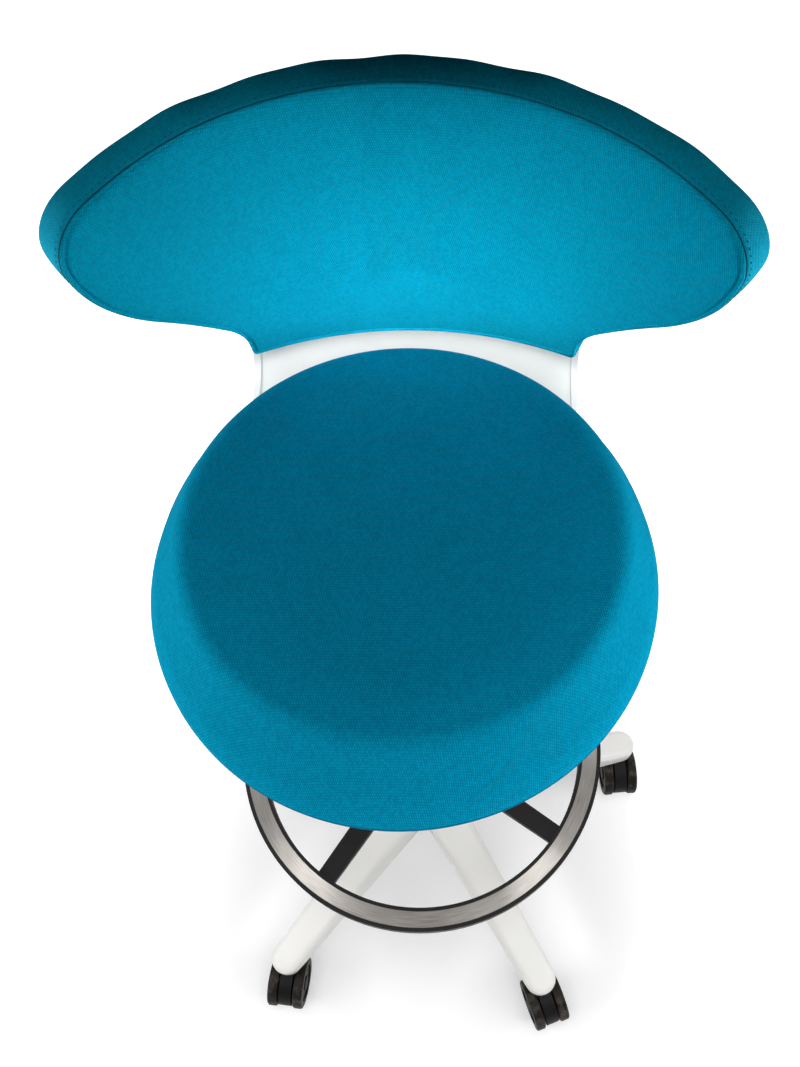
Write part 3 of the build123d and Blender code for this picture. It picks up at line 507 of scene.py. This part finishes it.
def swell(piece, is_held):
    """Moves a piece's points as its blown-up cloth copy moves, where the cloth isn't held."""
    copy = piece.copy()
    copy.data = piece.data.copy()
    copy.name = piece.name + "_blown"
    scene.collection.objects.link(copy)
    bpy.context.view_layer.objects.active = copy
    remesh = copy.modifiers.new("even", "REMESH")
    remesh.mode = "VOXEL"
    remesh.voxel_size = swell_voxel
    bpy.ops.object.modifier_apply(modifier=remesh.name)
    rest = [point.co.copy() for point in copy.data.vertices]
    held = copy.vertex_groups.new(name="held")
    held.add([index for index, place in enumerate(rest) if is_held(place)], 1.0, "REPLACE")
    cloth = copy.modifiers.new("cloth", "CLOTH")
    cloth.settings.use_pressure = True
    cloth.settings.uniform_pressure_force = swell_pressure
    cloth.settings.effector_weights.gravity = 0.0
    cloth.settings.vertex_group_mass = "held"
    cloth.point_cache.frame_start = 1
    cloth.point_cache.frame_end = swell_frames
    for number in range(1, swell_frames + 1):
        scene.frame_set(number)
    blown = copy.evaluated_get(bpy.context.evaluated_depsgraph_get()).data
    moves = []
    for place, point in zip(rest, blown.vertices):
        move = point.co - place
        if move.length > swell_cap:
            move *= swell_cap / move.length
        moves.append(move)
    scene.frame_set(1)
    near = kdtree.KDTree(len(rest))
    for index, place in enumerate(rest):
        near.insert(place, index)
    near.balance()
    for point in piece.data.vertices:
        if is_held(point.co):
            continue
        total = Vector((0, 0, 0))
        weight_sum = 0.0
        for _, index, distance in near.find_n(point.co, swell_neighbours):
            weight = 1 / (distance * distance + swell_voxel * swell_voxel)
            total += moves[index] * weight
            weight_sum += weight
        point.co += total / weight_sum
    bpy.data.objects.remove(copy)


def seat_is_held(place):
    """The lower part of the slope and the underside, which are pulled over the pan."""
    return place.z < seat_low + seat_side_height / seat_held_part


def pad_is_held(place):
    """The band, the seam and the rear, and the edge that is tucked in above the shell."""
    rear = back_rear_radius + (place.z - back_low) * back_lean
    depth = rear - math.hypot(place.x, place.y - back_axis_y)
    return depth < pad_band + pad_roll / 2 or place.z < pad_low + pad_roll


seat_cushion = seat_piece()
seat_piping = piping_piece()
back_cushion = pad_piece()
back_seam = seam_piece()
back_stitching = stitch_piece()
swell(seat_cushion, seat_is_held)
swell(back_cushion, pad_is_held)

# Materials


def node(tree, kind, inputs=(), **settings):
    """A shader node with its settings, its values and its links."""
    made = tree.nodes.new(kind)
    for key, value in settings.items():
        setattr(made, key, value)
    for key, value in dict(inputs).items():
        if isinstance(value, bpy.types.NodeSocket):
            tree.links.new(value, made.inputs[key])
        else:
            made.inputs[key].default_value = value
    return made


def maths(tree, operation, first, second=0.0):
    """The result of a Math node."""
    return node(tree, "ShaderNodeMath", {0: first, 1: second}, operation=operation).outputs[0]


def shaded(name, **values):
    """A new material, its node tree and its shader with even values set on its own sockets."""
    material = bpy.data.materials.new(name)
    material.use_nodes = True
    tree = material.node_tree
    shader = tree.nodes["Principled BSDF"]
    for key, value in values.items():
        shader.inputs[key.replace("_", " ")].default_value = value
    return material, tree, shader


def linear(red, green, blue):
    """A colour from its screen values."""
    parts = []
    for value in (red, green, blue):
        share = value / 255
        parts.append(share / 12.92 if share <= 0.04045 else ((share + 0.055) / 1.055) ** 2.4)
    return (*parts, 1.0)


def mixed(tree, share, first, second):
    """The colour between two colours at a share."""
    made = node(tree, "ShaderNodeMix", data_type="RGBA")
    for key, value in ((0, share), (6, first), (7, second)):
        if isinstance(value, bpy.types.NodeSocket):
            tree.links.new(value, made.inputs[key])
        else:
            made.inputs[key].default_value = value
    return made.outputs[2]


def bumped(tree, shader, height, distance):
    """A bump on the shader from a height."""
    bump = node(tree, "ShaderNodeBump", {"Height": height, "Distance": distance})
    tree.links.new(bump.outputs[0], shader.inputs["Normal"])


def noise(tree, place, scale, detail=2.0):
    """A noise value at a place."""
    inputs = {"Vector": place, "Scale": scale, "Detail": detail}
    return node(tree, "ShaderNodeTexNoise", inputs).outputs["Fac"]


def object_place(tree):
    """Places in the part's own frame, in metres."""
    return node(tree, "ShaderNodeTexCoord").outputs["Object"]


def spread(tree, value, low, high):
    """A noise value spread from its usual middle range to a wanted one."""
    limits = {0: value, 1: noise_low, 2: noise_high, 3: low, 4: high}
    return node(tree, "ShaderNodeMapRange", limits).outputs[0]


def added(tree, *terms):
    """The sum of values, each given with its weight."""
    total = maths(tree, "MULTIPLY", *terms[0])
    for value, weight in terms[1:]:
        total = maths(tree, "ADD", total, maths(tree, "MULTIPLY", value, weight))
    return total


def woven_cloth(name, dark, light, bump_distance):
    """Upholstery cloth: rows of short stitches, shifted from row to row, each with its own tone, and darker
    in the weave's hollows as painted shade.
    """
    material, tree, shader = shaded(name, Roughness=0.95, Sheen_Weight=0.12, Sheen_Roughness=0.5)
    shader.inputs["Sheen Tint"].default_value = sheen_tint
    shader.inputs["Specular IOR Level"].default_value = cloth_gloss
    chart = node(tree, "ShaderNodeUVMap", uv_map="weave").outputs[0]
    split = node(tree, "ShaderNodeSeparateXYZ", {0: chart})
    drift = maths(tree, "SUBTRACT", noise(tree, chart, scale=120.0), 0.5)
    wander = maths(tree, "MULTIPLY", drift, weave_wander)
    across = maths(tree, "DIVIDE", maths(tree, "ADD", split.outputs[0], wander), weave_width)
    along = maths(tree, "DIVIDE", maths(tree, "ADD", split.outputs[1], wander), weave_length)
    row = maths(tree, "FLOOR", along)
    shift = maths(tree, "MULTIPLY", row, weave_shift)
    shifted = maths(tree, "ADD", across, shift)
    stitch = node(tree, "ShaderNodeCombineXYZ", {0: maths(tree, "FLOOR", shifted), 1: row}).outputs[0]
    chance = node(tree, "ShaderNodeTexWhiteNoise", {"Vector": stitch}, noise_dimensions="2D")
    own_tone = chance.outputs["Value"]
    column_share = maths(tree, "FRACT", shifted)
    row_share = maths(tree, "FRACT", along)
    ridge = maths(tree, "SINE", maths(tree, "MULTIPLY", column_share, math.pi))
    arch = maths(tree, "SINE", maths(tree, "MULTIPLY", row_share, math.pi))
    hump = maths(tree, "ADD", maths(tree, "MULTIPLY", arch, weave_arch), weave_floor)
    height = maths(tree, "POWER", maths(tree, "MULTIPLY", ridge, hump), weave_sharpness)
    yarn = noise(tree, chart, scale=1400.0, detail=2.0)
    mottle = noise(tree, object_place(tree), scale=14.0, detail=3.0)
    # The tone also follows the weave's height: the low sides of the stitches and the gaps between rows are
    # painted darker, painted shade in the weave's hollows.
    tone = added(tree, (own_tone, 0.2), (height, 0.62), (yarn, 0.12), (mottle, 0.1))
    tree.links.new(mixed(tree, tone, dark, light), shader.inputs["Base Color"])
    bumped(tree, shader, added(tree, (height, 1.0), (yarn, 0.4)), distance=bump_distance)
    return material


def moulded_plastic(name, dark, light, rough, grain, gloss_level=satin_gloss):
    """A satin moulding: fine grain, uneven gloss and slight tone changes."""
    material, tree, shader = shaded(name)
    shader.inputs["Specular IOR Level"].default_value = gloss_level
    place = object_place(tree)
    tone = spread(tree, noise(tree, place, scale=9.0, detail=3.0), low=0.0, high=1.0)
    tree.links.new(mixed(tree, tone, dark, light), shader.inputs["Base Color"])
    gloss = spread(tree, noise(tree, place, scale=55.0, detail=4.0), *rough)
    tree.links.new(gloss, shader.inputs["Roughness"])
    bumped(tree, shader, noise(tree, place, scale=1500.0, detail=2.0), grain)
    return material


def scuffed_wheel(name, dark, light, worn):
    """Hard castor tread: dark grey-brown plastic with pale dusty scuffs and fine scratches."""
    material, tree, shader = shaded(name)
    shader.inputs["Specular IOR Level"].default_value = wheel_gloss
    place = object_place(tree)
    tone = spread(tree, noise(tree, place, scale=30.0, detail=4.0), low=0.0, high=1.0)
    plain = mixed(tree, tone, dark, light)
    patches = spread(tree, noise(tree, place, scale=85.0, detail=6.0), low=-0.8, high=1.1)
    scratches = noise(tree, place, scale=900.0, detail=2.0)
    dust = maths(tree, "MULTIPLY", maths(tree, "MAXIMUM", patches, 0.0), scratches)
    tree.links.new(mixed(tree, dust, plain, worn), shader.inputs["Base Color"])
    tree.links.new(spread(tree, patches, low=0.42, high=0.62), shader.inputs["Roughness"])
    bumped(tree, shader, scratches, distance=0.00006)
    return material


def brushed_round(name, dark, light):
    """Steel brushed along the ring: fine lines that follow the circle about the column."""
    material, tree, shader = shaded(name, Metallic=1.0, Anisotropic=0.9)
    place = object_place(tree)
    split = node(tree, "ShaderNodeSeparateXYZ", {0: place})
    flat = node(tree, "ShaderNodeCombineXYZ", {0: split.outputs[0], 1: split.outputs[1]}).outputs[0]
    radius = node(tree, "ShaderNodeVectorMath", {0: flat}, operation="LENGTH").outputs["Value"]
    turn = maths(tree, "ARCTAN2", split.outputs[1], split.outputs[0])
    stretched = node(tree, "ShaderNodeCombineXYZ", {
        0: maths(tree, "MULTIPLY", radius, brush_lines),
        1: maths(tree, "MULTIPLY", turn, brush_breaks),
    }).outputs[0]
    lines = noise(tree, stretched, scale=1.0, detail=4.0)
    smears = noise(tree, place, scale=22.0, detail=3.0)
    tone = spread(tree, added(tree, (lines, 0.75), (smears, 0.25)), low=0.0, high=1.0)
    tree.links.new(mixed(tree, tone, dark, light), shader.inputs["Base Color"])
    tree.links.new(spread(tree, smears, low=0.4, high=0.5), shader.inputs["Roughness"])
    tangent = node(tree, "ShaderNodeTangent", direction_type="RADIAL", axis="Z").outputs[0]
    tree.links.new(tangent, shader.inputs["Tangent"])
    bumped(tree, shader, lines, distance=0.00003)
    return material


def metal(name, dark, light, rough, metallic):
    """Plated, painted or turned metal with fine spots and uneven gloss."""
    material, tree, shader = shaded(name, Metallic=metallic)
    shader.inputs["Specular IOR Level"].default_value = metal_gloss
    place = object_place(tree)
    tone = spread(tree, noise(tree, place, scale=40.0, detail=4.0), low=0.0, high=1.0)
    tree.links.new(mixed(tree, tone, dark, light), shader.inputs["Base Color"])
    gloss = spread(tree, noise(tree, place, scale=120.0, detail=3.0), *rough)
    tree.links.new(gloss, shader.inputs["Roughness"])
    bumped(tree, shader, noise(tree, place, scale=900.0, detail=2.0), distance=0.00003)
    return material


def plywood(name, dark, light):
    """Bare plywood: grain lines along the sheet and layers through its edge."""
    material, tree, shader = shaded(name, Roughness=0.7)
    place = object_place(tree)
    squeeze = {0: place, 1: plywood_squeeze}
    squeezed = node(tree, "ShaderNodeVectorMath", squeeze, operation="MULTIPLY").outputs[0]
    grain = noise(tree, squeezed, scale=2.5, detail=6.0)
    split = node(tree, "ShaderNodeSeparateXYZ", {0: place})
    layer = maths(tree, "FRACT", maths(tree, "MULTIPLY", split.outputs[2], plywood_layers))
    tone = spread(tree, added(tree, (grain, 0.8), (layer, 0.2)), low=0.0, high=1.0)
    tree.links.new(mixed(tree, tone, dark, light), shader.inputs["Base Color"])
    bumped(tree, shader, grain, distance=0.0001)
    return material


looks = {
    "teal_fabric": woven_cloth(
        "teal_fabric", linear(0, 92, 116), linear(0, 175, 211), bump_distance=0.0003
    ),
    "teal_piping": woven_cloth(
        "teal_piping", linear(0, 84, 112), linear(0, 130, 162), bump_distance=0.0002
    ),
    "white_plastic": moulded_plastic(
        "white_plastic", linear(236, 236, 232), linear(244, 243, 240), rough=(0.34, 0.44), grain=0.00003
    ),
    "black_plastic": moulded_plastic(
        "black_plastic", linear(24, 24, 24), linear(36, 34, 34),
        rough=(0.38, 0.52), grain=0.00005, gloss_level=dull_gloss
    ),
    "castor_body": moulded_plastic(
        "castor_body", linear(12, 11, 11), linear(22, 20, 20),
        rough=(0.36, 0.5), grain=0.00004, gloss_level=wheel_gloss
    ),
    "castor_wheel": scuffed_wheel(
        "castor_wheel", linear(20, 17, 15), linear(33, 29, 26), worn=linear(94, 88, 83)
    ),
    "tread_steel": brushed_round("tread_steel", linear(112, 109, 106), linear(158, 155, 150)),
    "black_metal": metal(
        "black_metal", linear(8, 8, 8), linear(16, 15, 15), rough=(0.42, 0.55), metallic=0.0
    ),
    "column_steel": metal(
        "column_steel", linear(26, 26, 27), linear(40, 40, 41), rough=(0.24, 0.34), metallic=0.6
    ),
    "steel": metal("steel", linear(140, 140, 140), linear(180, 180, 178), rough=(0.28, 0.4), metallic=1.0),
    "aluminium": metal(
        "aluminium", linear(170, 170, 172), linear(200, 200, 202), rough=(0.3, 0.42), metallic=1.0
    ),
    "plywood": plywood("plywood", linear(150, 112, 70), linear(196, 158, 112)),
    "acetal": moulded_plastic(
        "acetal", linear(208, 208, 200), linear(226, 226, 220), rough=(0.4, 0.5), grain=0.00003
    ),
    "rubber": moulded_plastic(
        "rubber", linear(18, 18, 18), linear(30, 30, 30),
        rough=(0.6, 0.75), grain=0.00008, gloss_level=rubber_gloss
    ),
}
# The seam cord's dark colour is painted shade of the seam's groove.
seam_shade_cord = moulded_plastic(
    "seam_shade_cord", linear(0, 72, 94), linear(0, 88, 112),
    rough=(0.7, 0.85), grain=0.0001, gloss_level=dull_gloss
)
thread = moulded_plastic(
    "dark_thread", linear(0, 92, 118), linear(0, 110, 138),
    rough=(0.7, 0.85), grain=0.0001, gloss_level=dull_gloss
)
for entry in frame["record"]["subparts"]:
    solid = frame["nodes"][entry["node"]]
    solid.data.materials.clear()
    solid.data.materials.append(looks[entry["material_slot"]])


def dress(piece, look, body, replaced=()):
    """Gives a new piece its material, its body and the solids that it stands for."""
    piece.data.materials.append(looks[look])
    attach(piece, body)
    if replaced:
        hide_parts(*replaced)


dress(seat_cushion, "teal_fabric", "seat", ["seat_cushion"])
dress(seat_piping, "teal_piping", "seat", ["seat_piping"])
dress(back_cushion, "teal_fabric", "back", ["back_pad"])
for piece, look in ((back_seam, seam_shade_cord), (back_stitching, thread)):
    piece.data.materials.append(look)
    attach(piece, "back")

# Floor, light and camera


def add_floor():
    """A pale floor that keeps the chair's soft shadow, white away from the chair and glowing less near it,
    as painted shade.
    """
    size = floor_size
    corners = [(-size, -size, 0), (size, -size, 0), (size, size, 0), (-size, size, 0)]
    floor = mesh_piece("floor", corners, [(0, 1, 2, 3)])
    material, tree, shader = shaded("floor_white", Roughness=0.9)
    shader.inputs["Base Color"].default_value = floor_colour
    path = node(tree, "ShaderNodeLightPath")
    glow = node(tree, "ShaderNodeEmission", {"Color": white})
    seen = maths(tree, "MAXIMUM", path.outputs["Is Camera Ray"], path.outputs["Is Glossy Ray"])
    # The glow is lowest round a point in front of the chair and rises outward: painted shade on the floor
    # about the chair.
    ends = {0: object_place(tree), 1: painted_shade_centre}
    away = node(tree, "ShaderNodeVectorMath", ends, operation="DISTANCE").outputs["Value"]
    rise = {0: away, 1: painted_shade_inner_radius, 2: painted_shade_outer_radius, 3: painted_shade_glow, 4: 1.0}
    level = node(tree, "ShaderNodeMapRange", rise, interpolation_type="SMOOTHSTEP").outputs[0]
    tree.links.new(maths(tree, "MULTIPLY", seen, level), glow.inputs["Strength"])
    both = node(tree, "ShaderNodeAddShader", {0: shader.outputs[0], 1: glow.outputs[0]})
    tree.links.new(both.outputs[0], tree.nodes["Material Output"].inputs["Surface"])
    floor.data.materials.append(material)
    return floor


def add_world():
    """Soft light that is stronger near the horizon than above, and white where the camera sees it."""
    world = bpy.data.worlds.new("studio")
    world.use_nodes = True
    scene.world = world
    tree = world.node_tree
    back = tree.nodes["Background"]
    back.inputs["Color"].default_value = white
    way = node(tree, "ShaderNodeTexCoord").outputs["Generated"]
    rise = node(tree, "ShaderNodeSeparateXYZ", {0: way}).outputs[2]
    low_share = maths(tree, "POWER", maths(tree, "SUBTRACT", 1.0, maths(tree, "ABSOLUTE", rise)), 2.0)
    extra = maths(tree, "MULTIPLY", low_share, horizon_light - zenith_light)
    level = maths(tree, "ADD", extra, zenith_light)
    path = node(tree, "ShaderNodeLightPath")
    clear = maths(tree, "MAXIMUM", path.outputs["Is Camera Ray"], path.outputs["Is Transmission Ray"])
    seen = maths(tree, "MAXIMUM", clear, path.outputs["Is Glossy Ray"])
    strength = node(tree, "ShaderNodeMix", {0: seen, 2: level, 3: 1.0}, data_type="FLOAT")
    tree.links.new(strength.outputs[0], back.inputs["Strength"])


def add_lamp(name, place, target, size, power, lit=(), spread_angle=180, colour=white[:3]):
    """A soft box at a place, turned to a target, for all pieces or only for those that are named."""
    lamp = bpy.data.lights.new(name, "AREA")
    lamp.shape = "RECTANGLE"
    lamp.size, lamp.size_y = size
    lamp.energy = power
    lamp.color = colour
    lamp.spread = math.radians(spread_angle)
    holder = bpy.data.objects.new(name, lamp)
    holder.location = place
    holder.rotation_euler = (Vector(target) - Vector(place)).to_track_quat("-Z", "Y").to_euler()
    holder.visible_camera = False
    scene.collection.objects.link(holder)
    if lit:
        group = bpy.data.collections.new(name + "_lit")
        for piece in lit:
            group.objects.link(piece)
        holder.light_linking.receiver_collection = group


def add_camera():
    """The photograph's camera."""
    forward = Vector((
        math.sin(camera_yaw) * math.cos(camera_pitch),
        math.cos(camera_yaw) * math.cos(camera_pitch),
        -math.sin(camera_pitch),
    ))
    right = Vector((math.cos(camera_yaw), -math.sin(camera_yaw), 0))
    down = forward.cross(right)
    turned_right = right * math.cos(camera_roll) + down * math.sin(camera_roll)
    turned_down = down * math.cos(camera_roll) - right * math.sin(camera_roll)
    data = bpy.data.cameras.new("photo_camera")
    data.sensor_fit = "AUTO"
    data.sensor_width = sensor_size
    data.lens = focal_pixels * sensor_size / photo_height
    data.shift_x = (photo_width / 2 - principal_x) / photo_height
    holder = bpy.data.objects.new("photo_camera", data)
    turn = Matrix((turned_right, -turned_down, -forward)).transposed()
    holder.matrix_world = Matrix.Translation(camera_place) @ turn.to_4x4()
    scene.collection.objects.link(holder)
    scene.camera = holder


replaced_nodes = ("seat_cushion", "seat_piping", "back_pad")
hard_pieces = [solid for name, solid in frame["nodes"].items() if name not in replaced_nodes]
shell = frame["nodes"]["back_shell"]
tread = frame["nodes"]["footring_tread"]
plain_pieces = [piece for piece in hard_pieces if piece is not tread]
seat_pieces = (seat_cushion, seat_piping)
back_pieces = (back_cushion, back_seam)
floor = add_floor()
add_world()

# Soft boxes on both sides for all pieces
add_lamp("left_box", (-1.4, -0.47, 0.98), side_target, side_size, power=12.5)
add_lamp("right_box", (1.4, -0.47, 0.98), side_target, side_size, power=11.5)

# The seat's slopes and top
add_lamp(
    "seat_left_box", (-1.4, -0.65, 1.14), seat_target, seat_lamp_size, power=12.5,
    lit=seat_pieces, colour=seat_tint
)
add_lamp(
    "seat_right_box", (1.4, -0.65, 1.14), seat_target, seat_lamp_size, power=18,
    lit=seat_pieces, colour=seat_tint
)

# The middle of the backrest, its wing tips, and the light that it throws back on the seat's rear edge
add_lamp(
    "back_beam", (0, -0.45, 1.75), (0, 0.26, 0.8), (0.3, 0.06), power=0.38,
    lit=(*back_pieces, back_stitching), spread_angle=20
)
add_lamp("left_tip_box", (-1.3, 0.3, 0.5), (-0.26, 0.2, 0.93), tip_size, power=11, lit=back_pieces)
add_lamp("right_tip_box", (1.3, 0.3, 0.5), (0.26, 0.2, 0.93), tip_size, power=15, lit=back_pieces)
add_lamp("rear_bounce", (0, 0.236, 0.878), (0, 0.2, 0.825), (0.26, 0.02), power=0.036, lit=(seat_cushion,))

# The shell, the floor, the hard pieces and the tread's two glints
add_lamp("shell_box", (0, -0.5, 1.7), (0, 0.25, 0.78), (0.6, 0.3), power=5.2, lit=(shell,))
add_lamp("top_box", (0, -0.3, 2.6), (0, 0, 0), (2.0, 2.0), power=45, lit=(floor, *plain_pieces))
add_lamp("left_glint", (-1.2, -1.2, 1.9), ring_target, glint_size, glint_power, lit=(tread,))
add_lamp("right_glint", (1.2, -1.2, 1.9), ring_target, glint_size, glint_power, lit=(tread,))
add_lamp("rear_box", (0, 2.2, 1.5), (0, 0.2, 0.8), (1.2, 1.2), power=22, lit=hard_pieces)
add_camera()
scene.view_settings.view_transform = "Standard"
